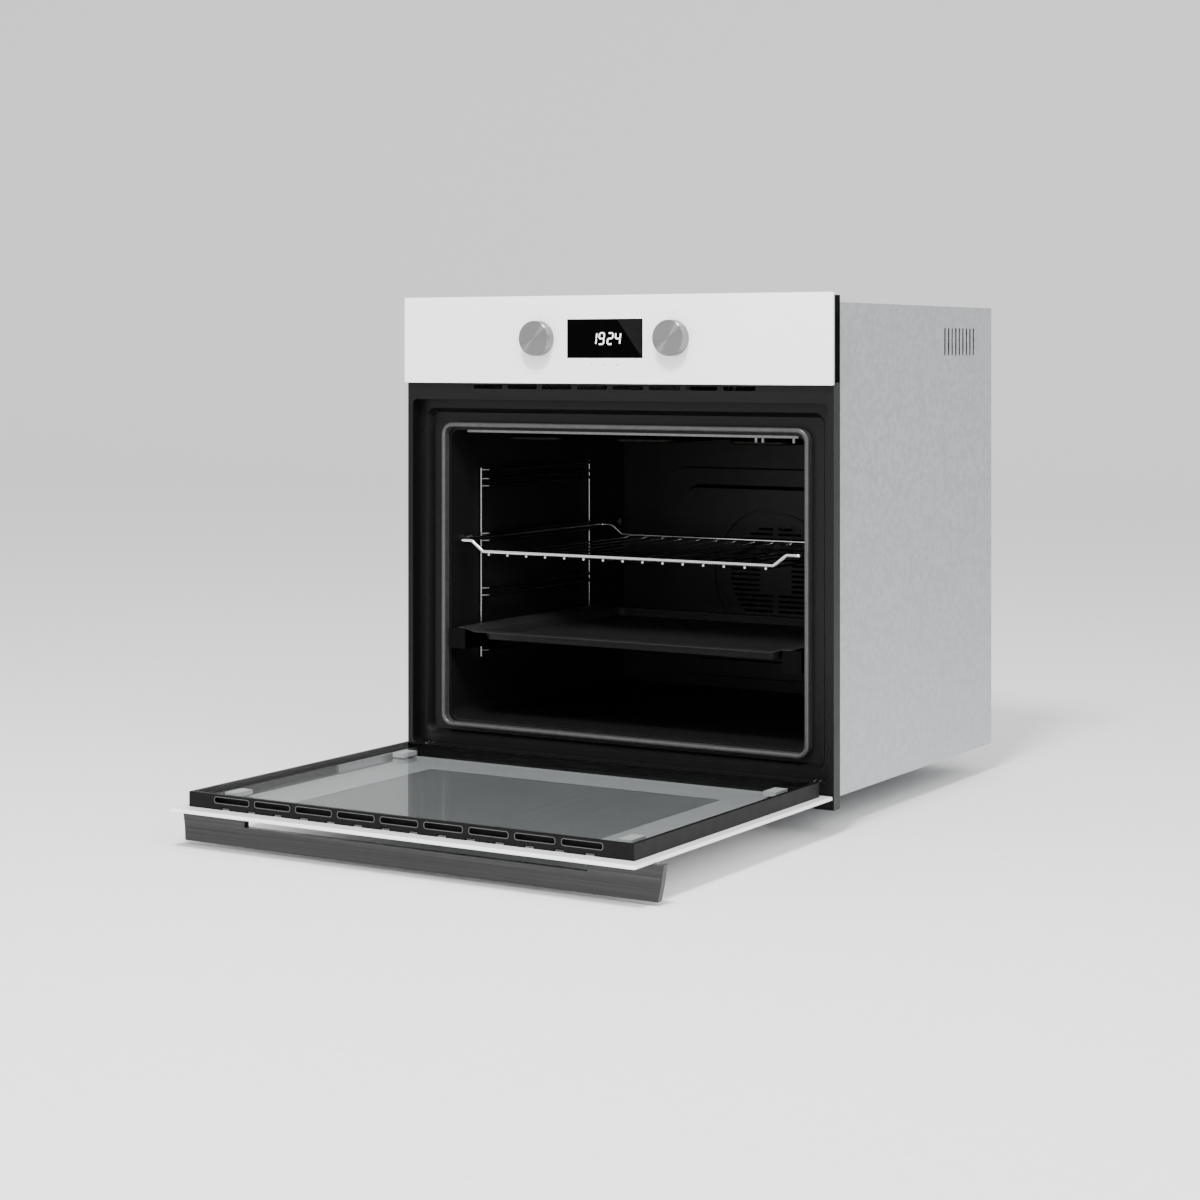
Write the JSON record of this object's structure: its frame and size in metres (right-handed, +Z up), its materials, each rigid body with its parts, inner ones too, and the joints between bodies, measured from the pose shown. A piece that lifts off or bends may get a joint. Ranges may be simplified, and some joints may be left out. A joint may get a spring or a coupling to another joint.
{
  "type": "built-in wall oven",
  "caption": "Built-in electric wall oven with a white glass front, two knobs, a clock window and a drop-down glass door with a bar handle, holding a wire shelf and a baking tray.",
  "frame": {"origin": "middle of the front at the niche floor: Y = 0 is the plane of the cabinet's front edge behind the flange, Z = 0 the niche floor", "axes": "+X to the right seen from the front, +Y into the oven, +Z up; the open door reaches to -Y"},
  "size_m": [0.62, 1.0202, 0.6199],
  "materials": {
    "white_glass": "white print on the back of clear tempered glass",
    "black_enamel": "glossy vitreous enamel",
    "grey_enamel": "glossy vitreous enamel with fine speckle",
    "black_paint": "satin powder coat",
    "galvanised_steel": "hot-dip galvanised sheet",
    "brushed_steel": "brushed",
    "zinc_steel": "zinc-plated",
    "chromed_wire": "bright chrome",
    "element_steel": "heat-darkened tube",
    "clear_glass": "clear",
    "display_glass": "smoked, with lit digits",
    "grey_rubber": "silicone over glass braid",
    "black_plastic": "matte",
    "grey_plastic": "matte",
    "circuit_board": "lacquered",
    "aluminium": "mill finish",
    "stone_wool": "fibrous",
    "ceramic": "matte"
  },
  "bodies": {
    "oven": {"air_duct": "galvanised_steel", "base_panel": "galvanised_steel", "bottom_element": "element_steel", "cable_gland": "black_plastic", "cavity_muffle": "grey_enamel", "control_panel_glass": "white_glass", "convection_motor": "zinc_steel", "cooling_fan_housing": "galvanised_steel", "cooling_fan_motor": "zinc_steel", "display_board": "circuit_board", "display_lens": "display_glass", "door_gasket": "grey_rubber", "fan_cover": "grey_enamel", "front_frame": "black_enamel", "function_switch": "grey_plastic", "grill_element": "element_steel", "hinge_arms": "zinc_steel", "hinge_pins": "zinc_steel", "insulation": "stone_wool", "lamp_bulb": "clear_glass", "lamp_glass": "clear_glass", "lamp_holder": "ceramic", "motor_cover": "galvanised_steel", "panel_carrier": "black_plastic", "rack_studs": "zinc_steel", "rail_fixed_left": "zinc_steel", "rail_fixed_right": "zinc_steel", "rear_panel": "galvanised_steel", "ring_element": "element_steel", "roof_trim": "zinc_steel", "safety_thermostat": "ceramic", "side_panel_left": "galvanised_steel", "side_panel_right": "galvanised_steel", "side_rack_left": "chromed_wire", "side_rack_right": "chromed_wire", "temperature_probe": "zinc_steel", "temperature_switch": "grey_plastic", "terminal_block": "ceramic", "top_cover": "galvanised_steel"},
    "door": {"door_outer_glass": "white_glass", "door_middle_glass": "clear_glass", "door_inner_glass": "clear_glass", "glass_spacers": "black_plastic", "door_side_left": "black_paint", "door_side_right": "black_paint", "door_top_strip": "black_paint", "door_bottom_strip": "black_paint", "door_handle": "brushed_steel", "handle_screws": "zinc_steel", "hinge_leaves": "zinc_steel"},
    "function_knob": {"function_knob": "brushed_steel"},
    "temperature_knob": {"temperature_knob": "brushed_steel"},
    "convection_fan": {"convection_fan_wheel": "galvanised_steel"},
    "cooling_fan": {"cooling_fan_wheel": "aluminium"},
    "shelf": {"wire_shelf": "chromed_wire"},
    "tray": {"baking_tray": "black_enamel", "rail_carriage_left": "zinc_steel", "rail_carriage_right": "zinc_steel"},
    "rail_middles": {"rail_middle_left": "zinc_steel", "rail_middle_right": "zinc_steel"}
  },
  "joints": [
    {"name": "door_hinge", "type": "hinge", "parent": "oven", "child": "door", "pos_m": [0, -0.0183, 0.0103], "axis": [1, 0, 0], "range_deg": [-90, 0]},
    {"name": "tray_slide", "type": "slide", "parent": "oven", "child": "tray", "axis": [0, -1, 0], "range_m": [0, 0.3]},
    {"name": "rail_middle_slide", "type": "slide", "parent": "oven", "child": "rail_middles", "axis": [0, -1, 0], "range_m": [0, 0.15]},
    {"name": "shelf_slide", "type": "slide", "parent": "oven", "child": "shelf", "axis": [0, -1, 0], "range_m": [0, 0.2]},
    {"name": "function_knob_turn", "type": "hinge", "parent": "oven", "child": "function_knob", "pos_m": [-0.0965, -0.023, 0.5355], "axis": [0, -1, 0], "continuous": true},
    {"name": "temperature_knob_turn", "type": "hinge", "parent": "oven", "child": "temperature_knob", "pos_m": [0.0905, -0.023, 0.5355], "axis": [0, 1, 0], "range_deg": [0, 270]},
    {"name": "convection_fan_spin", "type": "hinge", "parent": "oven", "child": "convection_fan", "pos_m": [0, 0.45, 0.2145], "axis": [0, 1, 0], "continuous": true},
    {"name": "cooling_fan_spin", "type": "hinge", "parent": "oven", "child": "cooling_fan", "pos_m": [0, 0.405, 0.48], "axis": [0, 0, 1], "continuous": true}
  ],
  "couplings": [
    {"joint": "rail_middle_slide", "follows": "tray_slide", "ratio": 0.5}
  ]
}
